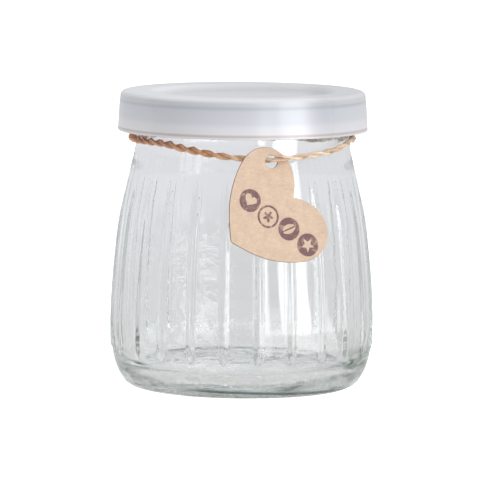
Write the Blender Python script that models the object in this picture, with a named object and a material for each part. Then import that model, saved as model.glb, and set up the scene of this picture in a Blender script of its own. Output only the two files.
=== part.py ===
"""Ribbed glass dessert jar with a press-on plastic lid, twine round its neck and a card heart tag.

Metres, +Z up. The origin is at the centre of the base and the front faces -Y. Every round piece is a
section, a list of (radius, height) from axis to axis, turned about Z.
"""

import math

import bmesh
import bpy
from mathutils import Matrix, Vector

MM = 0.001
SHARP_ANGLE = 40.0

# Glass jar. It stands on the flat ring between the punt and the heel, and the heel is a quarter ellipse.
# The walls are (radius, height): belly, shoulder and neck outside, then the inside from mouth to floor.
BEARING_OUTER_R = 28.0 * MM
HEEL_HEIGHT = 12.7 * MM
HEEL_R = 34.6 * MM
PUNT = [(0.0, 1.3), (14.0, 1.15), (22.0, 0.6), (24.4, 0.0)]
OUTER_WALL = [
    (34.7, 17.2),
    (34.35, 25.7),
    (33.6, 35.2),
    (32.6, 43.7),
    (31.2, 51.7),
    (29.65, 58.7),
    (28.65, 63.0),
    (28.25, 66.2),
    (28.25, 69.7),
]
INNER_WALL = [
    (25.6, 67.7),
    (25.7, 64.2),
    (26.5, 60.7),
    (28.0, 56.0),
    (30.0, 45.7),
    (31.3, 32.7),
    (31.8, 19.7),
    (31.5, 13.2),
    (30.6, 8.8),
    (28.6, 6.0),
    (25.6, 4.5),
    (0.0, 3.9),
]

# Glass rim under the lid
BEAD_CENTRE_R = 28.8 * MM
BEAD_CENTRE_HEIGHT = 74.1 * MM
BEAD_DEPTH = 2.3 * MM
BEAD_HALF_HEIGHT = 2.9 * MM
MOUTH_R = 25.6 * MM
MOUTH_ROUNDING = 1.4 * MM

# Ribs of the glass: 24 of them, with one broad smooth panel facing the front
RIB_COUNT = 24
RIB_HALF_ANGLE = 1.9
RIB_PROUD = 0.65 * MM
RIB_BOTTOM = 9.3 * MM
RIB_BOTTOM_FULL = 11.9 * MM
RIB_TOP_FULL = 48.0 * MM
RIB_TOP = 58.7 * MM

# Lid
LID_TOP = 78.6 * MM
LID_WALL = 1.3 * MM
LID_TOP_R = 32.6 * MM
LID_BOTTOM_R = 33.2 * MM
LID_CORNER = 1.4 * MM
SKIRT_BOTTOM = 68.1 * MM
SKIRT_WALL = 1.1 * MM
SNAP_HEIGHT = 70.7 * MM
SNAP_DEPTH = 1.0 * MM
SNAP_HALF_HEIGHT = 0.9 * MM
SNAP_SET_IN = 0.3 * MM
RING_FILLET = 0.6 * MM
RECESS_R = 23.0 * MM
RECESS_DEPTH = 1.5 * MM
RECESS_ROUNDING = 0.5 * MM
RECESS_DRAFT = 0.3 * MM
PANEL_WALL = 1.2 * MM
PLUG_OUTER_R = 25.2 * MM
PLUG_WALL = 1.1 * MM
PLUG_BOTTOM = 73.9 * MM
PLUG_CHAMFER = 0.4 * MM
LID_COLUMNS = 64

# Twine, with the places that it passes as (degrees from the front towards +X, radius, height)
TWINE_DIAMETER = 1.6 * MM
TWINE_STEP = 5.2 * MM
TWINE_ROUTE = [
    (-188.0, 31.3, 66.4),
    (-177.0, 30.0, 66.3),
    (-162.0, 29.4, 66.1),
    (-125.0, 29.4, 66.1),
    (-86.0, 29.4, 66.1),
    (-70.0, 29.4, 66.1),
    (-56.0, 29.4, 66.2),
    (-44.0, 29.4, 66.1),
    (-34.0, 29.5, 65.4),
    (-22.0, 29.6, 64.5),
    (-13.0, 29.75, 63.8),
    (-5.0, 29.85, 63.3),
    (1.0, 29.85, 63.0),
    (4.6, 29.85, 62.75),
    (7.5, 29.75, 62.65),
    (10.2, 29.8, 62.6),
    (12.2, 30.3, 62.65),
    (13.8, 31.05, 62.75),
    (15.2, 31.8, 62.9),
    (17.0, 32.35, 63.1),
    (20.1, 32.4, 63.25),
    (23.4, 32.05, 63.3),
    (27.0, 31.7, 63.4),
    (31.0, 31.1, 63.45),
    (37.0, 30.3, 63.6),
    (46.0, 29.85, 63.9),
    (56.0, 29.6, 64.4),
    (66.0, 29.4, 65.2),
    (78.0, 29.4, 65.9),
    (92.0, 29.4, 66.1),
    (106.0, 29.55, 65.3),
    (122.0, 29.8, 64.1),
    (138.0, 29.9, 63.6),
    (149.0, 29.7, 64.3),
    (158.0, 29.4, 65.7),
    (167.0, 29.4, 67.1),
    (176.0, 29.35, 67.85),
    (224.0, 29.35, 68.0),
    (280.0, 29.35, 68.3),
    (350.0, 29.35, 68.9),
    (410.0, 29.35, 68.8),
    (460.0, 29.35, 68.2),
    (504.0, 29.4, 67.9),
    (514.5, 30.0, 67.7),
    (520.5, 31.2, 67.1),
]

# Knot of the twine, on the outside of the turn that passes under it
KNOT_ANGLE = -194.0
KNOT_R = 31.85 * MM
KNOT_HEIGHT = 66.3 * MM
KNOT_HALF_WIDTH = 2.3 * MM
KNOT_HALF_HEIGHT = 1.4 * MM
KNOT_HALF_DEPTH = 1.3 * MM
TAIL_DIAMETER = 1.3 * MM
TAIL_TIP_DIAMETER = 0.9 * MM
TAIL_LENGTH = 3.6 * MM
TAIL_SPREAD = 1.9 * MM

# Heart tag: the hole's centre in space, how far the card turns and leans, and the heart's half outline
# as (distance from the notch towards the tip, distance from the middle line)
TAG_THICKNESS = 0.5 * MM
TAG_HOLE = Vector((7.4, -30.2, 62.3)) * MM
TAG_HOLE_R = 1.7 * MM
TAG_TURN = 24.0
TAG_LEAN = 11.0
TAG_ROLL = 210.6
HOLE_FROM_NOTCH = 0.0 * MM
HOLE_FROM_MIDDLE = -11.0 * MM
HEART_HALF = [
    (0.0, 0.0),
    (-2.6, 3.2),
    (-4.2, 7.8),
    (-3.1, 12.6),
    (0.2, 15.6),
    (4.8, 16.1),
    (9.6, 14.0),
    (14.5, 10.2),
    (18.3, 5.6),
    (21.6, 0.0),
]


def clear_scene():
    for obj in list(bpy.data.objects):
        bpy.data.objects.remove(obj)


def material(name, colour, roughness, transmission=0.0, ior=1.5):
    made = bpy.data.materials.new(name)
    made.use_nodes = True
    shader = made.node_tree.nodes["Principled BSDF"]
    shader.inputs["Base Color"].default_value = (*colour, 1.0)
    shader.inputs["Roughness"].default_value = roughness
    shader.inputs["Metallic"].default_value = 0.0
    shader.inputs["Transmission Weight"].default_value = transmission
    shader.inputs["IOR"].default_value = ior
    return made


def add_object(name, data, look):
    obj = bpy.data.objects.new(name, data)
    bpy.context.collection.objects.link(obj)
    data.materials.append(look)
    return obj


def ellipse_arc(centre, radii, start, end, steps):
    """Points of an ellipse in the (radius, height) plane, both ends included, angles in degrees."""
    points = []
    for step in range(steps + 1):
        angle = math.radians(start + (end - start) * step / steps)
        r = centre[0] + radii[0] * math.cos(angle)
        z = centre[1] + radii[1] * math.sin(angle)
        points.append((r, z))
    return points


def spline(points, steps):
    """Catmull-Rom curve through points of any dimension, with the first and last kept."""
    padded = [points[0], *points, points[-1]]
    curve = []
    for a, b, c, d in zip(padded, padded[1:], padded[2:], padded[3:]):
        for step in range(steps):
            curve.append(catmull_rom(a, b, c, d, step / steps))
    curve.append(tuple(points[-1]))
    return curve


def catmull_rom(a, b, c, d, t):
    """The point at t, from 0 at b to 1 at c."""
    point = []
    for p, q, r, s in zip(a, b, c, d):
        slope = r - p
        bend = 2 * p - 5 * q + 4 * r - s
        twist = 3 * q - p - 3 * r + s
        point.append(0.5 * (2 * q + slope * t + bend * t * t + twist * t**3))
    return tuple(point)


def ramp(value, low, high):
    """0 below low, 1 above high, and a smooth rise between."""
    t = min(max((value - low) / (high - low), 0.0), 1.0)
    return t * t * (3 - 2 * t)


def rib_height(angle, z):
    """How far a rib stands out of the glass at an angle in degrees and a height."""
    pitch = 360.0 / RIB_COUNT
    from_crest = abs((angle % pitch) - pitch / 2)
    across = max(0.0, 1.0 - from_crest / RIB_HALF_ANGLE)
    along = ramp(z, RIB_BOTTOM, RIB_BOTTOM_FULL) * (1.0 - ramp(z, RIB_TOP_FULL, RIB_TOP))
    return RIB_PROUD * across * along


def turned(name, section, columns, look, relief=None):
    """Turns a section that starts and ends on the axis. relief(angle, z) widens the rings that come before
    the highest one, which are the outer side.
    """
    mesh = bmesh.new()
    bottom = mesh.verts.new((0.0, 0.0, section[0][1]))
    top = mesh.verts.new((0.0, 0.0, section[-1][1]))
    inner_side = section.index(max(section, key=lambda point: point[1]))
    rings = []
    for row, (r, z) in enumerate(section[1:-1], start=1):
        ring = []
        for angle in columns:
            proud = relief(angle, z) if relief and row < inner_side else 0.0
            turn = math.radians(angle)
            x = (r + proud) * math.sin(turn)
            y = -(r + proud) * math.cos(turn)
            ring.append(mesh.verts.new((x, y, z)))
        rings.append(ring)
    count = len(columns)
    for column in range(count):
        beside = (column + 1) % count
        mesh.faces.new((bottom, rings[0][column], rings[0][beside]))
        mesh.faces.new((top, rings[-1][beside], rings[-1][column]))
        for ring, following in zip(rings, rings[1:]):
            mesh.faces.new((ring[column], following[column], following[beside], ring[beside]))
    bmesh.ops.recalc_face_normals(mesh, faces=mesh.faces)
    data = bpy.data.meshes.new(name)
    mesh.to_mesh(data)
    mesh.free()
    data.shade_smooth()
    data.set_sharp_from_angle(angle=math.radians(SHARP_ANGLE))
    return add_object(name, data, look)


def jar_columns():
    """Angles of the glass's columns: both feet and the crest of each rib, and the middle of each panel."""
    pitch = 360.0 / RIB_COUNT
    columns = []
    for rib in range(RIB_COUNT):
        panel = rib * pitch
        crest = panel + pitch / 2
        columns += [panel, crest - RIB_HALF_ANGLE, crest, crest + RIB_HALF_ANGLE]
    return columns


def glass_jar():
    base = [(r * MM, z * MM) for r, z in PUNT]
    heel_radii = (HEEL_R - BEARING_OUTER_R, HEEL_HEIGHT)
    heel = ellipse_arc((BEARING_OUTER_R, HEEL_HEIGHT), heel_radii, -90, 0, 9)
    wall = [(r * MM, z * MM) for r, z in OUTER_WALL]
    bead_radii = (BEAD_DEPTH, BEAD_HALF_HEIGHT)
    bead = ellipse_arc((BEAD_CENTRE_R, BEAD_CENTRE_HEIGHT), bead_radii, -70, 90, 7)
    rim_height = BEAD_CENTRE_HEIGHT + BEAD_HALF_HEIGHT
    mouth_centre = (MOUTH_R + MOUTH_ROUNDING, rim_height - MOUTH_ROUNDING)
    mouth = ellipse_arc(mouth_centre, (MOUTH_ROUNDING, MOUTH_ROUNDING), 90, 180, 3)
    inside = [(r * MM, z * MM) for r, z in INNER_WALL]
    section = base + heel + wall + bead + mouth + inside
    look = material("clear_glass", (0.93, 0.96, 0.95), 0.03, transmission=1.0, ior=1.5)
    return turned("glass_jar", section, jar_columns(), look, relief=rib_height)


def lid():
    panel_top = LID_TOP - RECESS_DEPTH
    rim = LID_TOP_R - LID_CORNER
    outer_corner = ellipse_arc((rim, LID_TOP - LID_CORNER), (LID_CORNER, LID_CORNER), 90, 0, 4)
    recess_centre = (RECESS_R + RECESS_ROUNDING, LID_TOP - RECESS_ROUNDING)
    recess_edge = ellipse_arc(recess_centre, (RECESS_ROUNDING, RECESS_ROUNDING), 180, 90, 3)
    skirt_inner_bottom = LID_BOTTOM_R - SKIRT_WALL
    skirt_inner_top = LID_TOP_R - SKIRT_WALL
    snap_radii = (SNAP_DEPTH, SNAP_HALF_HEIGHT)
    snap = ellipse_arc((skirt_inner_bottom - SNAP_SET_IN, SNAP_HEIGHT), snap_radii, -90, -270, 4)
    ring_underside = LID_TOP - LID_WALL
    plug_inner = PLUG_OUTER_R - PLUG_WALL
    section = [(0.0, panel_top), (RECESS_R - RECESS_DRAFT, panel_top)]
    section += recess_edge + outer_corner
    section += [(LID_BOTTOM_R, SKIRT_BOTTOM), (skirt_inner_bottom, SKIRT_BOTTOM)]
    section += snap
    section += [
        (skirt_inner_top, ring_underside - RING_FILLET),
        (skirt_inner_top - RING_FILLET, ring_underside),
        (PLUG_OUTER_R, ring_underside),
        (PLUG_OUTER_R, PLUG_BOTTOM + PLUG_CHAMFER),
        (PLUG_OUTER_R - PLUG_CHAMFER, PLUG_BOTTOM),
        (plug_inner, PLUG_BOTTOM),
        (plug_inner, panel_top - PANEL_WALL),
        (0.0, panel_top - PANEL_WALL),
    ]
    columns = [360.0 * column / LID_COLUMNS for column in range(LID_COLUMNS)]
    look = material("translucent_plastic", (0.9, 0.91, 0.92), 0.45, transmission=0.5, ior=1.5)
    return turned("lid", section, columns, look)


def around(angle, r, z):
    """The place at an angle in degrees from the front, a radius and a height."""
    turn = math.radians(angle)
    return Vector((r * math.sin(turn), -r * math.cos(turn), z))


def twine_points():
    """The route smoothed between its own places, with steps of no more than TWINE_STEP."""
    padded = [TWINE_ROUTE[0], *TWINE_ROUTE, TWINE_ROUTE[-1]]
    points = []
    for a, b, c, d in zip(padded, padded[1:], padded[2:], padded[3:]):
        start = around(b[0], b[1] * MM, b[2] * MM)
        sweep = math.radians(c[0] - b[0]) * b[1] * MM
        length = max((around(c[0], c[1] * MM, c[2] * MM) - start).length, abs(sweep))
        steps = math.ceil(length / TWINE_STEP)
        for step in range(steps):
            angle, r, z = catmull_rom(a, b, c, d, step / steps)
            points.append(around(angle, r * MM, z * MM))
    angle, r, z = TWINE_ROUTE[-1]
    points.append(around(angle, r * MM, z * MM))
    return points


def tube(name, points, diameter, look):
    curve = bpy.data.curves.new(name, "CURVE")
    curve.dimensions = "3D"
    curve.bevel_depth = diameter / 2
    curve.bevel_resolution = 2
    curve.use_fill_caps = True
    line = curve.splines.new("POLY")
    line.points.add(len(points) - 1)
    for made, point in zip(line.points, points):
        made.co = (*point, 1.0)
    return add_object(name, curve, look)


def twine():
    look = material("jute", (0.62, 0.43, 0.28), 0.9)
    return tube("twine", twine_points(), TWINE_DIAMETER, look)


def twine_knot():
    """A lump of tied twine with two short tails that hang from it and lie back against the glass."""
    mesh = bmesh.new()
    bmesh.ops.create_uvsphere(mesh, u_segments=14, v_segments=9, radius=1.0)
    size = (KNOT_HALF_WIDTH, KNOT_HALF_DEPTH, KNOT_HALF_HEIGHT, 1.0)
    mesh.transform(Matrix.Diagonal(size))
    data = bpy.data.meshes.new("twine_knot")
    mesh.to_mesh(data)
    mesh.free()
    data.shade_smooth()
    look = material("jute_knot", (0.55, 0.37, 0.23), 0.9)
    knot = add_object("twine_knot", data, look)
    knot.location = around(KNOT_ANGLE, KNOT_R, KNOT_HEIGHT)
    knot.rotation_euler = (0.0, 0.0, math.radians(KNOT_ANGLE))
    for side in (-1, 1):
        join_tail(knot, side)
    return knot


def join_tail(knot, side):
    """Unites one tail with the knot: a tapering stub that points down and to one side."""
    mesh = bmesh.new()
    bmesh.ops.create_cone(
        mesh,
        cap_ends=True,
        segments=8,
        radius1=TAIL_TIP_DIAMETER / 2,
        radius2=TAIL_DIAMETER / 2,
        depth=TAIL_LENGTH,
    )
    data = bpy.data.meshes.new("tail")
    mesh.to_mesh(data)
    mesh.free()
    tail = bpy.data.objects.new("tail", data)
    bpy.context.collection.objects.link(tail)
    tail.location = (side * TAIL_SPREAD / 2, 0.0, -TAIL_LENGTH / 2)
    tail.rotation_euler = (0.0, -side * math.asin(TAIL_SPREAD / TAIL_LENGTH), 0.0)
    tail.parent = knot
    tail.hide_render = True
    tail.display_type = "WIRE"
    union = knot.modifiers.new("tail", "BOOLEAN")
    union.operation = "UNION"
    union.solver = "EXACT"
    union.object = tail


def heart_outline():
    """The heart in the card's own plane, centred on its hole and turned to hang as it does."""
    half = spline(HEART_HALF, 3)
    outline = half + [(along, -across) for along, across in reversed(half[1:-1])]
    roll = Matrix.Rotation(math.radians(TAG_ROLL), 2)
    points = []
    for along, across in outline:
        from_hole = Vector((along * MM - HOLE_FROM_NOTCH, across * MM - HOLE_FROM_MIDDLE))
        points.append(roll @ from_hole)
    return points


def hole_outline(sides=20):
    points = []
    for side in range(sides):
        turn = 2 * math.pi * side / sides
        points.append(Vector((math.cos(turn), math.sin(turn))) * TAG_HOLE_R)
    return points


def tag():
    curve = bpy.data.curves.new("tag", "CURVE")
    curve.dimensions = "2D"
    curve.fill_mode = "BOTH"
    curve.extrude = TAG_THICKNESS / 2
    for outline in (heart_outline(), hole_outline()):
        line = curve.splines.new("POLY")
        line.points.add(len(outline) - 1)
        line.use_cyclic_u = True
        for made, point in zip(line.points, outline):
            made.co = (point.x, point.y, 0.0, 1.0)
    card = add_object("tag", curve, material("kraft_card", (0.78, 0.6, 0.43), 0.85))
    upright = Matrix.Rotation(math.radians(90 - TAG_LEAN), 3, "X")
    turn = Matrix.Rotation(math.radians(TAG_TURN), 3, "Z")
    card.location = TAG_HOLE
    card.rotation_euler = (turn @ upright).to_euler()
    return card


clear_scene()
glass_jar()
lid()
twine()
twine_knot()
tag()
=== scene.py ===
"""Looks of the ribbed glass jar with its plastic lid, twine and heart tag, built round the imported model."""

import math
import random

import bmesh
import bpy
from mathutils import Matrix, Vector, noise

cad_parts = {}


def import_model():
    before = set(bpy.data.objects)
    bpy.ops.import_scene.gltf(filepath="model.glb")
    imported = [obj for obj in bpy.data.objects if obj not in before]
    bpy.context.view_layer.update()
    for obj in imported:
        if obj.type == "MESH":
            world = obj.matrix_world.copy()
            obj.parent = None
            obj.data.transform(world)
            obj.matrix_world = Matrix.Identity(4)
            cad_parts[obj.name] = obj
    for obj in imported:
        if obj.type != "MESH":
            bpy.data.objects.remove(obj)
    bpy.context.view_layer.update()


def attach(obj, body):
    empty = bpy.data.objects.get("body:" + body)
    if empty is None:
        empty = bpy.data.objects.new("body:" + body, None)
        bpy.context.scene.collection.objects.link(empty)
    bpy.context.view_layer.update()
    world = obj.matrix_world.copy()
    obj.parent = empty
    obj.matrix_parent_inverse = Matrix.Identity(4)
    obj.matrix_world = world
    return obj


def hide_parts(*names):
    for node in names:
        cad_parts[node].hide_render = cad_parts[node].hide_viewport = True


MM = 0.001

# Camera: 1.2 m from a point on the jar's axis, looking down a little
TARGET = Vector((0.0, 0.0, 38.7)) * MM
CAMERA_DISTANCE = 1.2
CAMERA_ELEVATION = 6.2
CAMERA_ROLL = 0.39
LENS = 337.7
SHIFT = (-0.0042, -0.0008)

# Glass, as (radius, height) in mm
BEARING_OUTER_R = 28.0
HEEL_HEIGHT = 12.7
HEEL_R = 34.6
PUNT = [(0.0, 1.3), (14.0, 1.15), (22.0, 0.6), (24.4, 0.0)]
OUTER_WALL = [
    (34.7, 17.2),
    (34.35, 25.7),
    (33.6, 35.2),
    (32.6, 43.7),
    (31.2, 51.7),
    (29.65, 58.7),
    (28.65, 63.0),
    (28.25, 66.2),
    (28.25, 69.7),
]
INNER_WALL = [
    (25.6, 67.7),
    (25.7, 64.2),
    (26.5, 60.7),
    (28.0, 56.0),
    (30.0, 45.7),
    (31.3, 32.7),
    (31.8, 19.7),
    (31.5, 13.2),
    (30.6, 8.8),
    (28.6, 6.0),
    (25.6, 4.6),
    (22.0, 4.1),
    (13.0, 3.9),
    (0.0, 3.9),
]
BEAD_CENTRE = (28.8, 74.1)
BEAD_RADII = (2.3, 2.9)
MOUTH_CENTRE = (27.0, 75.6)
MOUTH_ROUNDING = 1.4
RIB_COUNT = 24
RIB_HALF_ANGLE = 2.3
RIB_PROUD = 0.55
RIB_BOTTOM = 8.7
RIB_BOTTOM_FULL = 12.1
RIB_TOP_FULL = 44.7
RIB_TOP = 58.7
SEAM_HEIGHT = 1.9
SEAM_PROUD = 0.16
RIB_OFFSETS = [0.35, 0.75, 1.1, 1.45, 1.8, 2.1, 2.4, 3.0, 4.0, 5.6]

# Lid, in mm
LID_TOP = 78.6
LID_WALL = 1.3
LID_TOP_R = 32.6
LID_BOTTOM_R = 33.2
LID_CORNER = 1.4
SKIRT_BOTTOM = 68.1
SKIRT_WALL = 1.1
SNAP_HEIGHT = 70.7
SNAP_RADII = (1.0, 0.9)
SNAP_SET_IN = 0.3
RECESS_R = 23.0
RECESS_DEPTH = 1.5
RECESS_ROUNDING = 1.9
PANEL_WALL = 1.2
PLUG_OUTER_R = 25.2
PLUG_WALL = 1.1
PLUG_BOTTOM = 73.9
PLUG_CHAMFER = 0.4
LID_COLUMNS = 192

# Twine route: degrees from the front towards +X, radius and height in mm
TWINE_ROUTE = [
    (-188.0, 31.3, 66.4),
    (-177.0, 30.0, 66.3),
    (-162.0, 29.4, 66.1),
    (-125.0, 29.4, 66.1),
    (-86.0, 29.4, 66.1),
    (-70.0, 29.4, 66.1),
    (-56.0, 29.4, 66.2),
    (-44.0, 29.4, 66.1),
    (-34.0, 29.5, 65.4),
    (-22.0, 29.6, 64.5),
    (-13.0, 29.75, 63.8),
    (-5.0, 29.85, 63.3),
    (1.0, 29.85, 63.0),
    (4.6, 29.85, 62.75),
    (7.5, 29.75, 62.65),
    (10.2, 29.8, 62.6),
    (12.2, 30.3, 62.65),
    (13.8, 31.05, 62.75),
    (15.2, 31.8, 62.9),
    (17.0, 32.35, 63.1),
    (20.1, 32.4, 63.25),
    (23.4, 32.05, 63.3),
    (27.0, 31.7, 63.4),
    (31.0, 31.1, 63.45),
    (37.0, 30.3, 63.6),
    (46.0, 29.85, 63.9),
    (56.0, 29.6, 64.4),
    (66.0, 29.4, 65.2),
    (78.0, 29.4, 65.9),
    (92.0, 29.4, 66.1),
    (106.0, 29.55, 65.3),
    (122.0, 29.8, 64.1),
    (138.0, 29.9, 63.6),
    (149.0, 29.7, 64.3),
    (158.0, 29.4, 65.7),
    (167.0, 29.4, 67.1),
    (176.0, 29.35, 67.85),
    (224.0, 29.35, 68.0),
    (280.0, 29.35, 68.3),
    (350.0, 29.35, 68.9),
    (410.0, 29.35, 68.8),
    (460.0, 29.35, 68.2),
    (504.0, 29.4, 67.9),
    (514.5, 30.0, 67.7),
    (520.5, 31.2, 67.1),
]
TWINE_LAY = 7.5
PLY_RADIUS = 0.52
PLY_OFFSET = 0.44

# Knot
KNOT_ANGLE = -194.0
KNOT_R = 31.85
KNOT_HEIGHT = 66.3

# Heart tag, in mm and degrees
TAG_THICKNESS = 0.5
TAG_HOLE = Vector((7.4, -30.2, 62.3)) * MM
TAG_HOLE_R = 1.7
TAG_TURN = 24.0
TAG_LEAN = 11.0
TAG_ROLL = 210.6
HOLE_FROM_MIDDLE = -11.0
HEART_HALF = [
    (0.0, 0.0),
    (-2.6, 3.2),
    (-4.2, 7.8),
    (-3.1, 12.6),
    (0.2, 15.6),
    (4.8, 16.1),
    (9.6, 14.0),
    (14.5, 10.2),
    (18.3, 5.6),
    (21.6, 0.0),
]
STAMPS = [(10.9, -6.0), (9.0, 0.2), (5.9, 6.0), (3.8, 12.3)]
STAMP_R = 3.0


# Small helpers


def catmull_rom(a, b, c, d, t):
    """The point at t, from 0 at b to 1 at c."""
    point = []
    for p, q, r, s in zip(a, b, c, d):
        slope = r - p
        bend = 2 * p - 5 * q + 4 * r - s
        twist = 3 * q - p - 3 * r + s
        point.append(0.5 * (2 * q + slope * t + bend * t * t + twist * t**3))
    return tuple(point)


def smooth_through(points, spacing):
    """Catmull-Rom curve through points, with steps of no more than spacing."""
    padded = [points[0], *points, points[-1]]
    curve = []
    for a, b, c, d in zip(padded, padded[1:], padded[2:], padded[3:]):
        steps = max(1, math.ceil(math.dist(b, c) / spacing))
        for step in range(steps):
            curve.append(catmull_rom(a, b, c, d, step / steps))
    curve.append(tuple(points[-1]))
    return curve


def ellipse_arc(centre, radii, start, end, steps):
    points = []
    for step in range(steps + 1):
        angle = math.radians(start + (end - start) * step / steps)
        points.append((centre[0] + radii[0] * math.cos(angle), centre[1] + radii[1] * math.sin(angle)))
    return points


def ramp(value, low, high):
    t = min(max((value - low) / (high - low), 0.0), 1.0)
    return t * t * (3 - 2 * t)


def mesh_object(name, verts, faces, look, smooth=True):
    data = bpy.data.meshes.new(name)
    data.from_pydata([tuple(v) for v in verts], [], faces)
    data.update()
    if smooth:
        data.shade_smooth()
    obj = bpy.data.objects.new(name, data)
    bpy.context.collection.objects.link(obj)
    data.materials.append(look)
    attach(obj, "root")
    return obj


def turned(section, columns, displace=None):
    """Vertices and faces of a section in mm from axis to axis, turned about Z. The section runs up the
    outside first. displace(angle, r, z, row) gives how far the point moves out and up, in mm.
    """
    verts = [(0.0, 0.0, section[0][1] * MM)]
    count = len(columns)
    for row, (r, z) in enumerate(section[1:-1], start=1):
        for angle in columns:
            out, up = displace(angle, r, z, row) if displace else (0.0, 0.0)
            turn = math.radians(angle)
            verts.append(((r + out) * math.sin(turn) * MM, -(r + out) * math.cos(turn) * MM, (z + up) * MM))
    verts.append((0.0, 0.0, section[-1][1] * MM))
    rings = len(section) - 2
    last = len(verts) - 1
    faces = []
    for column in range(count):
        beside = (column + 1) % count
        faces.append((0, 1 + beside, 1 + column))
        top = 1 + (rings - 1) * count
        faces.append((last, top + column, top + beside))
    for ring in range(rings - 1):
        low = 1 + ring * count
        high = low + count
        for column in range(count):
            beside = (column + 1) % count
            faces.append((low + column, low + beside, high + beside, high + column))
    return verts, faces


# Nodes


def new_material(name):
    made = bpy.data.materials.new(name)
    made.use_nodes = True
    tree = made.node_tree
    return made, tree, tree.nodes["Principled BSDF"], tree.nodes["Material Output"]


def feed(tree, socket, value):
    """Give a socket a value, or link it where the value is another node's output."""
    if isinstance(value, bpy.types.NodeSocket):
        tree.links.new(value, socket)
    else:
        socket.default_value = value


def node(tree, kind, **settings):
    """A new node. Settings that start with i_ are for its inputs, by name or number."""
    made = tree.nodes.new(kind)
    for key, value in settings.items():
        if key.startswith("i_"):
            name = key[2:].replace("_", " ")
            feed(tree, made.inputs[int(name) if name.isdigit() else name], value)
        else:
            setattr(made, key, value)
    return made


def maths(tree, operation, *values):
    made = node(tree, "ShaderNodeMath", operation=operation)
    for socket, value in zip(made.inputs, values):
        feed(tree, socket, value)
    return made.outputs[0]


def multiplied(tree, *values):
    product = values[0]
    for value in values[1:]:
        product = maths(tree, "MULTIPLY", product, value)
    return product


def step_between(tree, value, low, high, at_low, at_high, kind="SMOOTHSTEP"):
    """A step from one number to another as a value goes from low to high."""
    made = node(tree, "ShaderNodeMapRange", interpolation_type=kind, i_Value=value)
    for name, number in (("From Min", low), ("From Max", high), ("To Min", at_low), ("To Max", at_high)):
        made.inputs[name].default_value = number
    return made.outputs["Result"]


def share_of(tree, value, low, high):
    return step_between(tree, value, low, high, 0.0, 1.0, "LINEAR")


def noise_at(tree, place, scale, detail, **more):
    return node(tree, "ShaderNodeTexNoise", i_Vector=place, i_Scale=scale, i_Detail=detail, **more).outputs["Fac"]


def bump_from(tree, height, strength, distance):
    made = node(tree, "ShaderNodeBump", i_Strength=strength, i_Distance=distance, i_Height=height)
    return made.outputs["Normal"]


def toned(tree, share, stops):
    """The colour at a share of the way through stops of position and colour."""
    made = node(tree, "ShaderNodeValToRGB", i_Fac=share)
    elements = made.color_ramp.elements
    while len(elements) < len(stops):
        elements.new(0.5)
    for element, (position, colour) in zip(elements, stops):
        element.position = position
        element.color = (*colour, 1.0)
    return made.outputs["Color"]


def mixed(tree, share, first, second, blend="MIX"):
    made = node(tree, "ShaderNodeMix", data_type="RGBA", blend_type=blend)
    for name, value in (("Factor", share), ("A", first), ("B", second)):
        feed(tree, made.inputs[name], value)
    return made.outputs["Result"]


def mixed_shaders(tree, share, first, second):
    return node(tree, "ShaderNodeMixShader", i_0=share, i_1=first, i_2=second).outputs[0]


def scaled(tree, vector, share):
    return node(tree, "ShaderNodeVectorMath", operation="SCALE", i_0=vector, i_Scale=share).outputs[0]


def dot(tree, vector, axis):
    return node(tree, "ShaderNodeVectorMath", operation="DOT_PRODUCT", i_0=vector, i_1=axis).outputs["Value"]


def flattened(tree, place):
    return node(tree, "ShaderNodeVectorMath", operation="MULTIPLY", i_0=place, i_1=(1.0, 1.0, 0.0)).outputs[0]


def from_axis(tree, place):
    """How far a place is from the jar's axis."""
    return node(tree, "ShaderNodeVectorMath", operation="LENGTH", i_0=flattened(tree, place)).outputs["Value"]


def object_place(tree):
    """The place on the object in metres, and its X, Y and Z."""
    place = node(tree, "ShaderNodeTexCoord").outputs["Object"]
    return place, node(tree, "ShaderNodeSeparateXYZ", i_0=place).outputs


# Materials

CLEAR = (0.99, 0.995, 0.997, 1.0)

# Painted shade on the outside of the heel: a dark line and an olive tone below it, standing in for dark refraction
# seen through the glass, by height as a share of 10 mm, and how much lower it lies towards +X
PAINTED_HEEL_SHADE_TONES = [
    (0.0, (0.36, 0.37, 0.31)),
    (0.145, (0.52, 0.53, 0.46)),
    (0.165, (0.03, 0.05, 0.05)),
    (0.21, (0.06, 0.09, 0.1)),
    (0.25, (0.6, 0.67, 0.68)),
    (0.29, (0.97, 0.97, 0.965)),
]
PAINTED_HEEL_SHADE_SLANT = 0.035

# Where the heel has painted dark streaks of shade, as steps in metres: axis, low, high, share at low and share at
# high
PAINTED_STREAK_CORNERS = [
    [
        ("X", 0.0255, 0.0285, 0.0, 1.0),
        ("Y", -0.0225, -0.02, 0.0, 1.0),
        ("Y", -0.008, -0.003, 1.0, 0.0),
        ("Z", 0.002, 0.004, 0.0, 1.0),
        ("Z", 0.01, 0.0135, 1.0, 0.0),
    ],
    [
        ("X", -0.027, -0.025, 1.0, 0.0),
        ("Y", -0.021, -0.018, 0.0, 1.0),
        ("Y", -0.009, -0.006, 1.0, 0.0),
        ("Z", 0.003, 0.0038, 0.0, 1.0),
        ("Z", 0.0055, 0.007, 1.0, 0.0),
    ],
]
# Colour of the painted shade in the heel's dark streaks
PAINTED_STREAK_SHADE = (0.34, 0.39, 0.33, 1.0)


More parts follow.
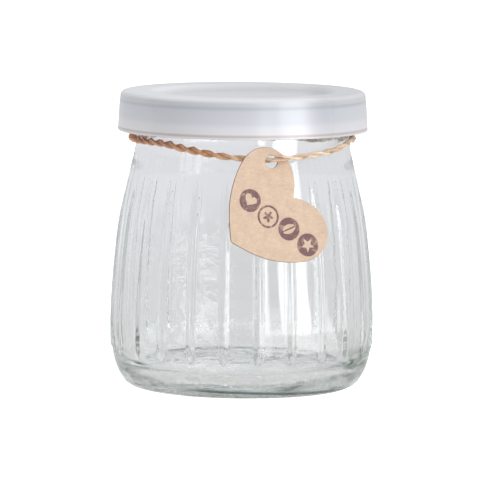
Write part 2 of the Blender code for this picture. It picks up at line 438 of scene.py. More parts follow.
def painted_heel_shade(tree, place, axes):
    """Clear all over but for the foot of the heel, where the camera's own rays meet painted shade: a dark line along
    the seam, an olive tone below it, and dark streaks at both lower corners, standing in for dark refraction seen
    through the glass.
    """
    level = maths(tree, "MULTIPLY_ADD", axes["X"], PAINTED_HEEL_SHADE_SLANT, axes["Z"])
    # Painted shade: the dark line and olive tone at the foot of the heel, for camera rays only
    tones = toned(tree, share_of(tree, level, 0.0, 0.01), PAINTED_HEEL_SHADE_TONES)
    seen = node(tree, "ShaderNodeLightPath").outputs["Is Camera Ray"]
    outside = step_between(tree, from_axis(tree, place), 0.0235, 0.0255, 0.0, 1.0)
    fade = step_between(tree, axes["X"], -0.022, -0.008, 0.1, 1.0)
    shade_lined = mixed(tree, multiplied(tree, outside, fade, seen), CLEAR, tones)
    stretched = node(tree, "ShaderNodeMapping", i_Vector=place, i_Scale=(180.0, 180.0, 900.0)).outputs[0]
    streaks = step_between(tree, noise_at(tree, stretched, 1.0, 2.0), 0.38, 0.56, 0.15, 1.0)
    corners = []
    for steps in PAINTED_STREAK_CORNERS:
        corners.append(multiplied(tree, *[step_between(tree, axes[axis], *step) for axis, *step in steps]))
    # Painted shade: dark streaks at both lower corners, for camera rays only
    dark = multiplied(tree, maths(tree, "MAXIMUM", *corners), streaks, seen)
    return mixed(tree, dark, shade_lined, PAINTED_STREAK_SHADE)


def ripple_strength(tree, axes):
    """Nearly smooth glass, but rippled low on the back wall, where it catches the light in patches."""
    back = step_between(tree, axes["Y"], 0.014, 0.022, 0.0, 1.0)
    low = step_between(tree, axes["Z"], 0.033, 0.039, 1.0, 0.0)
    return maths(tree, "MULTIPLY_ADD", multiplied(tree, back, low), 0.28, 0.008)


def floor_haze(tree, place, axes):
    """How much of the light the wrinkled floor of the jar and the foot of its wall scatter."""
    cloud = noise_at(tree, place, 190.0, 4.0, i_Roughness=0.6)
    haze = step_between(tree, cloud, 0.42, 0.6, 0.08, 0.6)
    back = step_between(tree, axes["Y"], 0.0, 0.008, 0.0, 1.0)
    foot = multiplied(tree, back, step_between(tree, axes["Z"], 0.0105, 0.0145, 1.0, 0.0))
    low = maths(tree, "MAXIMUM", foot, step_between(tree, axes["Z"], 0.005, 0.0075, 1.0, 0.0))
    inside = step_between(tree, from_axis(tree, place), 0.0316, 0.0319, 1.0, 0.0)
    above_punt = step_between(tree, axes["Z"], 0.0025, 0.0032, 0.0, 1.0)
    return multiplied(tree, haze, inside, above_punt, low)


def glass_material():
    made, tree, shader, output = new_material("clear_glass")
    shader.inputs["Transmission Weight"].default_value = 1.0
    shader.inputs["IOR"].default_value = 1.51
    shader.inputs["Roughness"].default_value = 0.0
    place, axes = object_place(tree)
    bump = bump_from(tree, noise_at(tree, place, 550.0, 2.0), ripple_strength(tree, axes), 0.0006)
    tree.links.new(bump, shader.inputs["Normal"])
    tree.links.new(painted_heel_shade(tree, place, axes), shader.inputs["Base Color"])
    veil = node(tree, "ShaderNodeBsdfDiffuse", i_Color=(0.86, 0.87, 0.87, 1.0)).outputs[0]
    hazy = mixed_shaders(tree, floor_haze(tree, place, axes), shader.outputs[0], veil)
    clear = node(tree, "ShaderNodeBsdfTransparent", i_Color=(0.94, 0.955, 0.95, 1.0)).outputs[0]
    path = node(tree, "ShaderNodeLightPath").outputs
    let_through = maths(tree, "MAXIMUM", path["Is Shadow Ray"], path["Is Diffuse Ray"])
    tree.links.new(mixed_shaders(tree, let_through, hazy, clear), output.inputs["Surface"])
    absorb = node(tree, "ShaderNodeVolumeAbsorption", i_Color=(0.25, 0.42, 0.3, 1.0), i_Density=5.0)
    tree.links.new(absorb.outputs[0], output.inputs["Volume"])
    return made


# Tones of the lid's clear plastic and of the milk in it, by height as a share of the way from LID_FOOT to LID_HEAD.
# They hold painted shade, a dark band where the glass rim shows through and a darker recess panel, and a pinkish band
# low on the skirt painted in for the twine seen through it
LID_FOOT = 0.0677
LID_HEAD = 0.0787
LID_TINT_AND_PAINTED_SHADE = [
    (0.0, (0.9, 0.86, 0.84)),
    (0.13, (0.9, 0.86, 0.84)),
    (0.2, (0.93, 0.93, 0.93)),
    (0.42, (0.8, 0.81, 0.83)),
    (0.7, (0.78, 0.795, 0.82)),
    (0.77, (0.68, 0.71, 0.75)),
    (0.83, (0.7, 0.71, 0.72)),
    (0.9, (0.67, 0.675, 0.69)),
    (0.95, (0.74, 0.745, 0.76)),
]
MILK_TINT_AND_PAINTED_SHADE = [
    (0.07, (0.8, 0.79, 0.79)),
    (0.1, (0.54, 0.47, 0.46)),
    (0.13, (0.57, 0.51, 0.5)),
    (0.16, (0.78, 0.77, 0.78)),
    (0.32, (0.74, 0.74, 0.76)),
    (0.42, (0.64, 0.655, 0.68)),
    (0.7, (0.6, 0.615, 0.645)),
    (0.77, (0.47, 0.495, 0.53)),
    (0.83, (0.59, 0.6, 0.61)),
    (0.88, (0.6, 0.605, 0.62)),
    (0.95, (0.71, 0.715, 0.73)),
]
LID_MILKY_FROM = 0.0762
LID_MILKY_TO = 0.0771


def lid_material():
    """Frosted plastic, as a clear and a milky one mixed, with painted shade making the milk darker at the right and
    on the far side, and painted shade in its tones by height.
    """
    made, tree, shader, output = new_material("frosted_plastic")
    shader.inputs["Transmission Weight"].default_value = 0.82
    shader.inputs["IOR"].default_value = 1.4
    shader.inputs["Coat Weight"].default_value = 0.25
    shader.inputs["Coat Roughness"].default_value = 0.2
    place, axes = object_place(tree)
    height = share_of(tree, axes["Z"], LID_FOOT, LID_HEAD)
    roughness = step_between(tree, noise_at(tree, place, 90.0, 2.0), 0.0, 1.0, 0.4, 0.48, "LINEAR")
    bump = bump_from(tree, noise_at(tree, place, 1400.0, 3.0), 0.12, 0.0001)
    # The plastic's tint by height, with painted shade in it
    tree.links.new(toned(tree, height, LID_TINT_AND_PAINTED_SHADE), shader.inputs["Base Color"])
    tree.links.new(roughness, shader.inputs["Roughness"])
    tree.links.new(bump, shader.inputs["Normal"])
    # Painted shade: the milk darker towards +X and towards the far side
    right = step_between(tree, axes["X"], 0.015, 0.022, 1.0, 0.76)
    far_side_shade = step_between(tree, axes["Y"], 0.005, 0.028, 1.0, 0.84)
    milk_tone_and_shade = scaled(tree, toned(tree, height, MILK_TINT_AND_PAINTED_SHADE), multiplied(tree, right, far_side_shade))
    milk = node(tree, "ShaderNodeBsdfPrincipled", i_Base_Color=milk_tone_and_shade, i_Roughness=0.24, i_IOR=1.5, i_Normal=bump)
    milky = step_between(tree, axes["Z"], LID_MILKY_FROM, LID_MILKY_TO, 0.8, 0.85, "LINEAR")
    tree.links.new(mixed_shaders(tree, milky, shader.outputs[0], milk.outputs[0]), output.inputs["Surface"])
    return made


def groove_shade(tree, uv):
    """Painted shade: full on the two crests of the strand, darker in the grooves between its plies."""
    across = node(tree, "ShaderNodeSeparateXYZ", i_0=uv).outputs["Y"]
    wave = maths(tree, "SINE", maths(tree, "MULTIPLY", across, 2 * math.pi))
    return step_between(tree, maths(tree, "ABSOLUTE", wave), 0.55, 1.0, 1.0, 0.72)


# Painted shade on the twine, darker and browner towards the jar's left, from x = -30 mm to x = 10 mm
TWINE_SIDE_SHADE = [
    (0.0, (1.0, 0.75, 0.65)),
    (0.25, (0.78, 0.52, 0.43)),
    (0.5, (0.84, 0.58, 0.41)),
    (0.8, (1.0, 0.92, 0.83)),
    (1.0, (1.0, 1.0, 1.0)),
]


def twine_material(name, light, dark):
    """Fibres that run with the twist, from dark gaps to pale crests, with painted shade in the grooves between the
    plies and painted shade making it darker and browner on the jar's left.
    """
    made, tree, shader, _ = new_material(name)
    shader.inputs["Roughness"].default_value = 0.85
    shader.inputs["Sheen Weight"].default_value = 0.25
    uv = node(tree, "ShaderNodeUVMap", uv_map="Strand").outputs[0]
    place, axes = object_place(tree)
    stretched = node(tree, "ShaderNodeMapping", i_Vector=uv, i_Scale=(0.16, 4.0, 1.0)).outputs[0]
    fibres = noise_at(tree, stretched, 2.0, 5.0, i_Roughness=0.7)
    patches = maths(tree, "MULTIPLY", noise_at(tree, place, 160.0, 2.0), 0.4)
    colour = toned(tree, maths(tree, "MULTIPLY_ADD", fibres, 0.6, patches), [(0.34, dark), (0.57, light)])
    # Painted shade: darker and browner towards the jar's left
    side_shade = toned(tree, share_of(tree, axes["X"], -0.03, 0.01), TWINE_SIDE_SHADE)
    side_shaded = mixed(tree, 1.0, colour, side_shade, "MULTIPLY")
    tree.links.new(scaled(tree, side_shaded, groove_shade(tree, uv)), shader.inputs["Base Color"])
    tree.links.new(bump_from(tree, fibres, 0.9, 0.00018), shader.inputs["Normal"])
    return made


def card_material(name, light, dark):
    made, tree, shader, _ = new_material(name)
    shader.inputs["Roughness"].default_value = 0.88
    place, _ = object_place(tree)
    mottle = noise_at(tree, place, 420.0, 6.0, i_Roughness=0.7)
    squeezed = node(tree, "ShaderNodeMapping", i_Vector=place, i_Scale=(1.0, 1.0, 5.0)).outputs[0]
    fibres = noise_at(tree, squeezed, 900.0, 3.0, i_Distortion=1.5)
    mean = maths(tree, "MULTIPLY", maths(tree, "ADD", mottle, fibres), 0.5)
    tree.links.new(toned(tree, mean, [(0.3, dark), (0.7, light)]), shader.inputs["Base Color"])
    tree.links.new(bump_from(tree, mean, 0.6, 0.00006), shader.inputs["Normal"])
    return made


def stamp_material(name, ink, card):
    """Ink on card, worn through in specks."""
    made, tree, shader, _ = new_material(name)
    shader.inputs["Roughness"].default_value = 0.8
    place, _ = object_place(tree)
    wear = noise_at(tree, place, 1500.0, 5.0, i_Roughness=0.7)
    broad = maths(tree, "MULTIPLY", noise_at(tree, place, 420.0, 2.0), 0.4)
    middle = tuple(0.55 * a + 0.45 * b for a, b in zip(ink, card))
    stops = [(0.0, ink), (0.5, ink), (0.58, middle), (0.66, card)]
    tree.links.new(toned(tree, maths(tree, "MULTIPLY_ADD", wear, 0.6, broad), stops), shader.inputs["Base Color"])
    return made


# Camera, stage and light


def camera():
    data = bpy.data.cameras.new("camera")
    data.lens = LENS
    data.sensor_width = 36.0
    data.shift_x, data.shift_y = SHIFT
    data.clip_start = 0.05
    data.clip_end = 30.0
    obj = bpy.data.objects.new("camera", data)
    bpy.context.collection.objects.link(obj)
    tilt = math.radians(CAMERA_ELEVATION)
    obj.location = TARGET + Vector((0.0, -math.cos(tilt), math.sin(tilt))) * CAMERA_DISTANCE
    look = Matrix.Rotation(math.radians(90.0) - tilt, 3, "X") @ Matrix.Rotation(math.radians(CAMERA_ROLL), 3, "Z")
    obj.rotation_euler = look.to_euler()
    bpy.context.scene.camera = obj


# Tone of the studio by height, and the light of its windows
ROOM_TONES = [
    (0.0, (0.7, 0.7, 0.7)),
    (0.17, (0.74, 0.745, 0.77)),
    (0.4, (0.76, 0.765, 0.79)),
    (1.0, (0.88, 0.88, 0.9)),
]
WINDOW_LIGHT = (5.6, 5.7, 5.9)

# Windows of light: azimuth towards +X of the middle, half width and highest point as tangents, and brightness
WINDOWS = [(47.5, 0.245, 0.75, 1.0), (20.5, 0.06, 0.75, 0.85)]
WINDOW_FOOT = -0.3
WINDOW_EDGE = 0.02


def world():
    """White to the camera. To everything else a pale grey studio with tall windows of light at the front right."""
    made = bpy.data.worlds.new("studio")
    bpy.context.scene.world = made
    made.use_nodes = True
    tree = made.node_tree
    tree.nodes.clear()
    direction = node(tree, "ShaderNodeTexCoord").outputs["Generated"]
    axes = node(tree, "ShaderNodeSeparateXYZ", i_0=direction).outputs
    tones = toned(tree, share_of(tree, axes["Z"], -0.2, 1.0), ROOM_TONES)
    room = scaled(tree, tones, step_between(tree, axes["Y"], -0.95, -0.3, 0.68, 1.0, "LINEAR"))
    light = scaled(tree, WINDOW_LIGHT, windows(tree, direction))
    total = node(tree, "ShaderNodeVectorMath", operation="ADD", i_0=room, i_1=light).outputs[0]
    studio = node(tree, "ShaderNodeBackground", i_Color=total).outputs[0]
    white = node(tree, "ShaderNodeBackground", i_Color=(1.0, 1.0, 1.0, 1.0), i_Strength=1.05).outputs[0]
    seen = node(tree, "ShaderNodeLightPath").outputs["Is Camera Ray"]
    output = node(tree, "ShaderNodeOutputWorld")
    tree.links.new(mixed_shaders(tree, seen, studio, white), output.inputs["Surface"])


def windows(tree, direction):
    """Brightness of the tall windows of light in a direction."""
    total = None
    for azimuth, half, top, share in WINDOWS:
        mask = window_mask(tree, direction, azimuth, half, top)
        part = maths(tree, "MULTIPLY", mask, share)
        total = part if total is None else maths(tree, "ADD", total, part)
    return total


def window_mask(tree, direction, azimuth, half, top):
    """1 inside a tall window of light, 0 outside, with soft edges."""
    turn = math.radians(azimuth)
    ahead = dot(tree, direction, (math.sin(turn), -math.cos(turn), 0.0))
    across = dot(tree, direction, (math.cos(turn), math.sin(turn), 0.0))
    up = dot(tree, direction, (0.0, 0.0, 1.0))
    safe = maths(tree, "MAXIMUM", ahead, 0.001)
    masks = [maths(tree, "GREATER_THAN", ahead, 0.05)]
    for source, low, high in ((across, -half, half), (up, WINDOW_FOOT, top)):
        ratio = maths(tree, "DIVIDE", source, safe)
        masks.append(step_between(tree, ratio, low - WINDOW_EDGE, low + WINDOW_EDGE, 0.0, 1.0))
        masks.append(step_between(tree, ratio, high + WINDOW_EDGE, high - WINDOW_EDGE, 0.0, 1.0))
    return multiplied(tree, *masks)


# The glare on the floor close to the jar: azimuth, half width as a tangent, and highest point as a tangent
NEAR_GLARE = (51.0, 0.62, 0.75)

# What glass and gloss see of the floor, by distance from the jar's axis as a share of 500 mm
FLOOR_SHADE = [
    (0.0, (0.9, 0.89, 0.9)),
    (0.05, (0.68, 0.675, 0.68)),
    (0.09, (0.68, 0.68, 0.68)),
    (0.3, (0.69, 0.69, 0.7)),
    (0.6, (0.7, 0.7, 0.72)),
    (1.0, (0.79, 0.79, 0.82)),
]
FLOOR_REACH = 12.0


def floor():
    """Pale to the camera. Glass and gloss see a greyer floor with the windows' glare on it."""
    size = FLOOR_REACH
    data = bpy.data.meshes.new("floor")
    corners = [(-size, -size, 0.0), (size, -size, 0.0), (size, size, 0.0), (-size, size, 0.0)]
    data.from_pydata(corners, [], [(0, 1, 2, 3)])
    obj = bpy.data.objects.new("floor", data)
    bpy.context.collection.objects.link(obj)
    made, tree, shader, output = new_material("floor")
    tree.nodes.remove(shader)
    matt = node(tree, "ShaderNodeBsdfDiffuse", i_Color=(0.8, 0.8, 0.8, 1.0)).outputs[0]
    glow = node(tree, "ShaderNodeEmission", i_Color=(1.0, 1.0, 1.0, 1.0), i_Strength=0.6).outputs[0]
    to_camera = node(tree, "ShaderNodeAddShader", i_0=matt, i_1=glow).outputs[0]
    path = node(tree, "ShaderNodeLightPath").outputs
    place, _ = object_place(tree)
    far = from_axis(tree, place)
    near = step_between(tree, far, 0.24, 0.36, 0.55, 0.0)
    wide = maths(tree, "MULTIPLY", window_mask(tree, flattened(tree, place), *NEAR_GLARE), near)
    sectors = maths(tree, "MAXIMUM", windows(tree, flattened(tree, place)), wide)
    outside = step_between(tree, far, 0.09, 0.12, 0.0, 1.0)
    direct = maths(tree, "SUBTRACT", 1.0, path["Is Diffuse Ray"])
    glare = maths(tree, "MULTIPLY_ADD", multiplied(tree, sectors, outside, direct), 6.5, 1.0)
    shade = toned(tree, share_of(tree, far, 0.0, 0.5), FLOOR_SHADE)
    pale = node(tree, "ShaderNodeEmission", i_Color=shade, i_Strength=glare).outputs[0]
    made.cycles.emission_sampling = "NONE"
    tree.links.new(mixed_shaders(tree, path["Is Camera Ray"], pale, to_camera), output.inputs["Surface"])
    data.materials.append(made)


# Twine


def around(angle, r, z):
    turn = math.radians(angle)
    return Vector((r * math.sin(turn), -r * math.cos(turn), z))


def twine_path(spacing=0.45):
    """The route in metres, smoothed between its own places, evenly spaced in mm."""
    padded = [TWINE_ROUTE[0], *TWINE_ROUTE, TWINE_ROUTE[-1]]
    fine = []
    for a, b, c, d in zip(padded, padded[1:], padded[2:], padded[3:]):
        for step in range(24):
            angle, r, z = catmull_rom(a, b, c, d, step / 24)
            fine.append(around(angle, r, z))
    fine.append(around(*TWINE_ROUTE[-1]))
    lengths = [0.0]
    for before, after in zip(fine, fine[1:]):
        lengths.append(lengths[-1] + (after - before).length)
    count = round(lengths[-1] / spacing)
    points = []
    index = 0
    for step in range(count + 1):
        wanted = lengths[-1] * step / count
        while index < len(fine) - 2 and lengths[index + 1] < wanted:
            index += 1
        share = (wanted - lengths[index]) / (lengths[index + 1] - lengths[index])
        points.append(fine[index].lerp(fine[index + 1], min(max(share, 0.0), 1.0)) * MM)
    return points, lengths[-1]


def frames(points):
    """Direction, side and up at each point, turned as little as possible along the way."""
    made = []
    side = None
    for i, point in enumerate(points):
        ahead = points[min(i + 1, len(points) - 1)]
        back = points[max(i - 1, 0)]
        direction = (ahead - back).normalized()
        if side is None:
            side = direction.cross(Vector((0.0, 0.0, 1.0))).normalized()
        side = (side - direction * side.dot(direction)).normalized()
        made.append((direction, side, direction.cross(side)))
    return made


def ply_radius(angle, ply=PLY_RADIUS, offset=PLY_OFFSET):
    """Outline of two round plies side by side, as the distance from the middle at an angle in radians."""
    across = offset * math.sin(angle)
    return offset * abs(math.cos(angle)) + math.sqrt(max(ply * ply - across * across, 0.0))


def strand(name, points, look, around_count=20, thickness=None, lay=TWINE_LAY, phase=0.0):
    """A twisted two-ply strand along points in metres, closed at both ends, with its UVs along and round it."""
    verts, faces, uvs = [], [], []
    run = 0.0
    twist = phase
    for i, (point, (direction, side, up)) in enumerate(zip(points, frames(points))):
        if i:
            run += (point - points[i - 1]).length / MM
            slack = 1.0 + 0.5 * ramp(point.x / MM, -18.0, 10.0)
            twist += 2 * math.pi * (point - points[i - 1]).length / MM / (lay * slack)
        scale = thickness(run, point) if thickness else 1.0
        for j in range(around_count):
            angle = 2 * math.pi * j / around_count
            grain = noise.noise(Vector((run * 0.35, math.cos(angle - twist) * 1.3, math.sin(angle - twist) * 1.3)))
            r = ply_radius(angle - twist) * scale * (1.0 + 0.16 * grain)
            verts.append(point + (side * math.cos(angle) + up * math.sin(angle)) * r * MM)
            uvs.append((run, (angle - twist) / (2 * math.pi)))
    rows = len(points)
    for i in range(rows - 1):
        for j in range(around_count):
            k = (j + 1) % around_count
            a, b = i * around_count, (i + 1) * around_count
            faces.append((a + j, a + k, b + k, b + j))
    start, end = len(verts), len(verts) + 1
    verts += [points[0], points[-1]]
    uvs += [(0.0, 0.0), (run, 0.0)]
    for j in range(around_count):
        k = (j + 1) % around_count
        faces.append((start, k, j))
        last = (rows - 1) * around_count
        faces.append((end, last + j, last + k))
    obj = mesh_object(name, verts, faces, look)
    layer = obj.data.uv_layers.new(name="Strand")
    for loop in obj.data.loops:
        layer.data[loop.index].uv = uvs[loop.vertex_index]
    return obj


def twine_thickness(run, point):
    """Share of the full thickness: less on the jar's right, and uneven along its length."""
    side = ramp(point.x / MM, -22.0, 14.0)
    return (1.04 - 0.2 * side) * (1.0 + 0.14 * noise.noise(Vector((run * 0.16, 3.0, 0.0))))


def loose_fibres(name, points, look, count, seed, reach=(0.9, 2.4)):
    """Fine hairs that stand off the twine, as thin three-sided tubes."""
    draw = random.Random(seed)
    along = frames(points)
    verts, faces, uvs = [], [], []
    for hair in range(count):
        i = draw.randrange(4, len(points) - 4)
        if points[i].x > -0.004 and draw.random() < 0.5:
            continue
        direction, side, up = along[i]
        angle = draw.uniform(0, 2 * math.pi)
        out = side * math.cos(angle) + up * math.sin(angle)
        length = draw.uniform(*reach)
        lean = draw.choice((-1, 1)) * draw.uniform(0.8, 2.6)
        curl = draw.uniform(-0.5, 0.5)
        start = points[i] + out * 0.62 * MM
        radius = draw.uniform(0.03, 0.06)
        steps = 5
        line = []
        for step in range(steps + 1):
            t = step / steps
            outward = out * length * (0.32 * t + 0.1 * t * t)
            forward = direction * lean * length * 0.35 * t
            sideways = direction.cross(out) * curl * length * t * t
            line.append(start + (outward + forward + sideways) * MM)
        base = len(verts)
        for step, (point, (d, s, u)) in enumerate(zip(line, frames(line))):
            r = radius * (1.0 - 0.7 * step / steps)
            for j in range(3):
                turn = 2 * math.pi * j / 3
                verts.append(point + (s * math.cos(turn) + u * math.sin(turn)) * r * MM)
                uvs.append((i * 0.45 + step * 0.3, j / 3))
        for step in range(steps):
            for j in range(3):
                k = (j + 1) % 3
                a, b = base + step * 3, base + step * 3 + 3
                faces.append((a + j, a + k, b + k, b + j))
        faces.append((base, base + 2, base + 1))
        top = base + steps * 3
        faces.append((top, top + 1, top + 2))
    obj = mesh_object(name, verts, faces, look)
    layer = obj.data.uv_layers.new(name="Strand")
    for loop in obj.data.loops:
        layer.data[loop.index].uv = uvs[loop.vertex_index]
    return obj


def knot(look):
    """Two wraps across the strand and two short tails that hang from it."""
    centre = around(KNOT_ANGLE, KNOT_R, KNOT_HEIGHT) * MM
    outward = around(KNOT_ANGLE, 1.0, 0.0)
    sideways = Vector((0.0, 0.0, 1.0)).cross(outward)
    up = Vector((0.0, 0.0, 1.0))
    pieces = []
    line = []
    for step in range(61):
        t = step / 60
        turn = 2 * math.pi * 1.75 * t - 0.6
        point = sideways * (2.2 * t - 1.1) + up * 0.85 * math.sin(turn) + outward * 0.62 * math.cos(turn)
        line.append(centre + point * MM)
    pieces.append(strand("twine_knot_wraps", line, look, around_count=14, thickness=lambda run, point: 0.62, lay=4.0))
    for side in (-1, 1):
        line = []
        for step in range(25):
            t = step / 24
            spread = side * (0.4 + 1.4 * t)
            drop = -0.3 - 3.2 * t
            curve = -0.25 * math.sin(math.pi * t)
            line.append(centre + (sideways * spread + up * drop + outward * curve) * MM)
        name = "twine_tail_left" if side < 0 else "twine_tail_right"
        pieces.append(strand(name, line, look, around_count=14, thickness=lambda run, point: 0.76 + 0.02 * run, phase=side))
    return pieces


# Glass and lid


def rib_height(angle, z):
    pitch = 360.0 / RIB_COUNT
    from_crest = abs((angle % pitch) - pitch / 2)
    if from_crest >= RIB_HALF_ANGLE:
        return 0.0
    across = math.cos(math.pi * from_crest / RIB_HALF_ANGLE / 2) ** 1.6
    along = ramp(z, RIB_BOTTOM, RIB_BOTTOM_FULL) * (1.0 - ramp(z, RIB_TOP_FULL, RIB_TOP))
    return RIB_PROUD * across * along


def glass_columns():
    pitch = 360.0 / RIB_COUNT
    columns = []
    for rib in range(RIB_COUNT):
        crest = rib * pitch + pitch / 2
        columns.append(rib * pitch)
        columns += [crest - offset for offset in reversed(RIB_OFFSETS)]
        columns.append(crest)
        columns += [crest + offset for offset in RIB_OFFSETS]
    return columns


def glass_jar(look):
    heel = ellipse_arc((BEARING_OUTER_R, HEEL_HEIGHT), (HEEL_R - BEARING_OUTER_R, HEEL_HEIGHT), -90, 0, 44)
    wall = smooth_through(OUTER_WALL, 1.4)[1:]
    bead = ellipse_arc(BEAD_CENTRE, BEAD_RADII, -70, 90, 12)
    mouth = ellipse_arc(MOUTH_CENTRE, (MOUTH_ROUNDING, MOUTH_ROUNDING), 90, 180, 6)
    inside = smooth_through(INNER_WALL, 1.0)
    section = PUNT[:1] + smooth_through(PUNT, 2.0)[1:] + heel[1:] + wall + bead + mouth + inside
    outer_rows = len(PUNT[:1] + smooth_through(PUNT, 2.0)[1:] + heel[1:] + wall)
    inner_from = len(section) - len(inside)

    def displace(angle, r, z, row):
        place = around(angle, r, z)
        if row < outer_rows:
            behind = 1.0 - ramp(abs(angle % 360.0 - 180.0), 40.0, 65.0)
            wave = 0.03 * noise.noise(place * 0.16 + Vector((7.0, 0.0, 0.0)))
            wave += behind * 0.07 * noise.noise(place * 0.33 + Vector((1.0, 6.0, 2.0))) * (1.0 - ramp(z, 33.0, 41.0))
            seam = SEAM_PROUD * (1.0 - ramp(z, SEAM_HEIGHT - 0.12, SEAM_HEIGHT + 0.12)) * ramp(z, 0.0, 0.8)
            fuller = 0.6 * (1.0 - ramp(z, 2.0, 7.0)) * (1.0 - ramp(abs(angle % 360.0 - 42.0), 8.0, 36.0))
            return rib_height(angle, z) + wave * ramp(z, 1.0, 6.0) + seam + fuller, 0.0
        if row < inner_from:
            return 0.0, 0.0
        near_mouth = 1.0 - ramp(z, 58.0, 66.0)
        back = 1.0 - ramp(abs(angle % 360.0 - 180.0), 48.0, 72.0)
        rough = back * (1.0 - 0.85 * ramp(z, 35.0, 42.0))
        broad = noise.noise(place * 0.06)
        blobs = noise.noise(place * 0.2 + Vector((8.0, 1.0, 4.0)))
        fine = noise.noise(place * 0.45 + Vector((3.0, 5.0, 1.0)))
        side = ramp(z, 4.3, 8.5)
        out = side * ((0.03 + 0.05 * back) * broad + rough * (0.16 * blobs + 0.1 * fine)) * near_mouth
        level = (1.0 - side) * (1.0 - ramp(r, 15.0, 24.0)) * min(1.0, r / 4.0)
        up = level * (0.35 * noise.noise(place * 0.12) + 0.22 * blobs + 0.07 * fine)
        return out, up

    verts, faces = turned(section, glass_columns(), displace)
    obj = mesh_object("jar_glass", verts, faces, look)
    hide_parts("glass_jar")
    return obj


def lid(look):
    panel_top = LID_TOP - RECESS_DEPTH
    rim = LID_TOP_R - LID_CORNER
    outer_corner = ellipse_arc((rim, LID_TOP - LID_CORNER), (LID_CORNER, LID_CORNER), 90, 0, 10)
    recess_edge = []
    for step in range(13):
        r = RECESS_R + RECESS_ROUNDING * (step / 6 - 1.0)
        recess_edge.append((r, panel_top + RECESS_DEPTH * ramp(r, RECESS_R - RECESS_ROUNDING, RECESS_R + RECESS_ROUNDING)))
    skirt_inner_bottom = LID_BOTTOM_R - SKIRT_WALL
    skirt_inner_top = LID_TOP_R - SKIRT_WALL
    snap = ellipse_arc((skirt_inner_bottom - SNAP_SET_IN, SNAP_HEIGHT), SNAP_RADII, -90, -270, 10)
    underside = LID_TOP - LID_WALL
    plug_inner = PLUG_OUTER_R - PLUG_WALL
    section = [(0.0, panel_top), (10.0, panel_top), (20.0, panel_top)]
    section += recess_edge + [(28.0, LID_TOP)] + outer_corner
    section += [(LID_TOP_R + 0.3, 73.7), (LID_BOTTOM_R, SKIRT_BOTTOM + 0.35)]
    section += ellipse_arc((LID_BOTTOM_R - 0.3, SKIRT_BOTTOM + 0.3), (0.3, 0.3), 0, -90, 3)[1:]
    section += [(skirt_inner_bottom + 0.15, SKIRT_BOTTOM), (skirt_inner_bottom, SKIRT_BOTTOM + 0.15)]
    section += snap
    section += ellipse_arc((skirt_inner_top - 0.6, underside - 0.6), (0.6, 0.6), 0, 90, 4)
    section += [
        (PLUG_OUTER_R, underside),
        (PLUG_OUTER_R, PLUG_BOTTOM + PLUG_CHAMFER),
        (PLUG_OUTER_R - PLUG_CHAMFER, PLUG_BOTTOM),
        (plug_inner, PLUG_BOTTOM),
        (plug_inner, panel_top - PANEL_WALL),
        (0.0, panel_top - PANEL_WALL),
    ]
    columns = [360.0 * column / LID_COLUMNS for column in range(LID_COLUMNS)]

    def displace(angle, r, z, row):
        wave = 0.05 * noise.noise(around(angle, r, z) * 0.07 + Vector((2.0, 9.0, 4.0)))
        return wave * ramp(r, 24.0, 31.0), 0.0

    verts, faces = turned(section, columns, displace)
    obj = mesh_object("lid_plastic", verts, faces, look)
    obj.data.set_sharp_from_angle(angle=math.radians(35.0))
    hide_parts("lid")
    return obj


# Tag


def tag_matrix():
    upright = Matrix.Rotation(math.radians(90 - TAG_LEAN), 4, "X")
    turn = Matrix.Rotation(math.radians(TAG_TURN), 4, "Z")
    return Matrix.Translation(TAG_HOLE) @ turn @ upright


def on_card(along, across):
    """A place on the heart as (right, up) from the hole in mm."""
    roll = Matrix.Rotation(math.radians(TAG_ROLL), 2)
    return roll @ Vector((along, across - HOLE_FROM_MIDDLE))


def heart_line():
    half = smooth_through(HEART_HALF, 0.6)
    outline = half + [(along, -across) for along, across in reversed(half[1:-1])]
    return [on_card(along, across) for along, across in outline]


def circle_line(centre, radius, sides):
    points = []
    for side in range(sides):
        turn = 2 * math.pi * side / sides
        points.append(centre + Vector((math.cos(turn), math.sin(turn))) * radius)
    return points


def flat_piece(name, outlines, low, high, looks, bevel=0.0):
    """A flat piece between two heights above the card's middle plane, in mm, from outlines with holes."""
    curve = bpy.data.curves.new(name, "CURVE")
    curve.dimensions = "2D"
    curve.fill_mode = "BOTH"
    curve.extrude = (high - low) / 2 * MM - bevel * MM
    curve.bevel_depth = bevel * MM
    curve.bevel_resolution = 1
    curve.offset = -bevel * MM
    for outline in outlines:
        line = curve.splines.new("POLY")
        line.points.add(len(outline) - 1)
        line.use_cyclic_u = True
        for made, point in zip(line.points, outline):
            made.co = (point.x * MM, point.y * MM, 0.0, 1.0)
    shape = bpy.data.objects.new(name + "_curve", curve)
    bpy.context.collection.objects.link(shape)
    bpy.context.view_layer.update()
    data = bpy.data.meshes.new_from_object(shape.evaluated_get(bpy.context.evaluated_depsgraph_get()))
    bpy.data.objects.remove(shape)
    mesh = bmesh.new()
    mesh.from_mesh(data)
    bmesh.ops.remove_doubles(mesh, verts=mesh.verts, dist=0.000002)
    bmesh.ops.recalc_face_normals(mesh, faces=mesh.faces)
    mesh.transform(Matrix.Translation((0.0, 0.0, (low + high) / 2 * MM)))
    data.materials.clear()
    for look in looks:
        data.materials.append(look)
    for face in mesh.faces:
        face.material_index = len(looks) - 1 if abs(face.normal.z) < 0.9 else 0
    mesh.transform(tag_matrix())
    mesh.to_mesh(data)
    mesh.free()
    data.name = name
    obj = bpy.data.objects.new(name, data)
    bpy.context.collection.objects.link(obj)
    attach(obj, "root")
    return obj


def polar_line(reach, sides):
    """A closed line round the origin, at the distance that reach(angle in radians) gives."""
    points = []
    for side in range(sides):
        turn = 2 * math.pi * side / sides
        points.append(Vector((math.cos(turn), math.sin(turn))) * reach(turn))
    return points


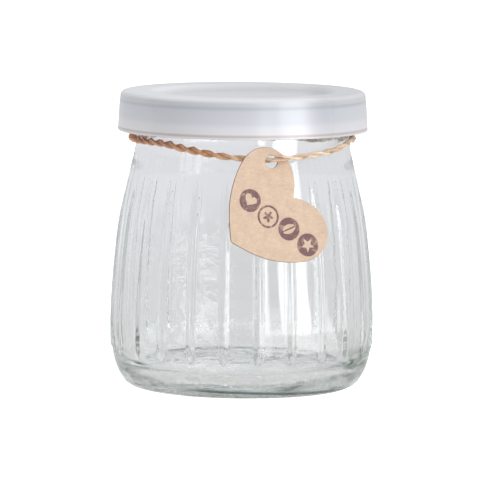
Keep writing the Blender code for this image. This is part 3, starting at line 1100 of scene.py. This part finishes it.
def heart_motif(size):
    points = []
    for step in range(48):
        t = 2 * math.pi * step / 48
        across = math.sin(t) ** 3
        up = (13 * math.cos(t) - 5 * math.cos(2 * t) - 2 * math.cos(3 * t) - math.cos(4 * t)) / 16
        points.append(Vector((across, up + 0.1)) * size)
    return points


def flower_motif(size):
    return polar_line(lambda turn: size * (0.72 + 0.28 * math.cos(5 * turn - math.pi / 2)), 60)


def star_motif(size):
    points = []
    for corner in range(10):
        turn = math.pi / 2 + math.pi * corner / 5
        points.append(Vector((math.cos(turn), math.sin(turn))) * size * (1.0 if corner % 2 == 0 else 0.42))
    return points


def leaf_halves(size):
    """A pointed leaf on a slant, as the two halves beside its midrib."""
    halves = []
    slant = Matrix.Rotation(math.radians(-32.0), 2)
    for side in (-1, 1):
        edge = [Vector((side * (0.09 + 0.5 * math.sin(math.pi * t / 14) ** 0.8), t / 7 - 1)) for t in range(15)]
        rib = [Vector((side * 0.09, 0.86 - 1.72 * t / 6)) for t in range(7)]
        halves.append([slant @ point * size for point in edge[1:-1] + rib])
    return halves


def stamps(ink):
    """Four round stamps in a row across the heart, each with a plain motif."""
    row = on_card(*STAMPS[-1]) - on_card(*STAMPS[0])
    slope = Matrix.Rotation(math.atan2(row.y, row.x), 2)
    disc = circle_line(Vector((0.0, 0.0)), STAMP_R, 64)
    ring = circle_line(Vector((0.0, 0.0)), STAMP_R - 0.55, 64)
    motifs = [
        ("heart", [disc, heart_motif(1.75)]),
        ("flower", [disc, ring, flower_motif(1.55)]),
        ("leaf", [disc, *leaf_halves(2.1)]),
        ("star", [disc, star_motif(2.0)]),
    ]
    made = []
    for (along, across), (name, outlines) in zip(STAMPS, motifs):
        centre = on_card(along, across)
        placed = [[centre + slope @ point for point in outline] for outline in outlines]
        top = TAG_THICKNESS / 2
        made.append(flat_piece("stamp_" + name, placed, top - 0.02, top + 0.025, [ink]))
    return made


def tag(card, edge):
    outlines = [heart_line(), circle_line(Vector((0.0, 0.0)), TAG_HOLE_R, 40)]
    half = TAG_THICKNESS / 2
    obj = flat_piece("tag_card", outlines, -half, half, [card, edge], bevel=0.17)
    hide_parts("tag")
    return obj


# Build

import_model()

camera()
world()
floor()

jute = twine_material("jute", (1.0, 0.8, 0.58), (0.38, 0.17, 0.08))
path, path_length = twine_path()
twine = strand("twine_strand", path, jute, around_count=24, thickness=twine_thickness)
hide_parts("twine")
knot_pieces = knot(jute)
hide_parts("twine_knot")
fibres = loose_fibres("twine_fibres", path, jute, 520, 5)

glass_jar(glass_material())
lid(lid_material())

card = card_material("kraft_card", (0.74, 0.56, 0.415), (0.49, 0.355, 0.25))
burnt = card_material("cut_edge", (0.2, 0.08, 0.04), (0.1, 0.035, 0.02))
tag_piece = tag(card, burnt)
stamp_pieces = stamps(stamp_material("stamp_ink", (0.175, 0.092, 0.09), (0.55, 0.41, 0.3)))

scene = bpy.context.scene
scene.view_settings.view_transform = "Standard"
scene.cycles.max_bounces = 36
scene.cycles.glossy_bounces = 28
scene.cycles.transmission_bounces = 36
scene.cycles.transparent_max_bounces = 24
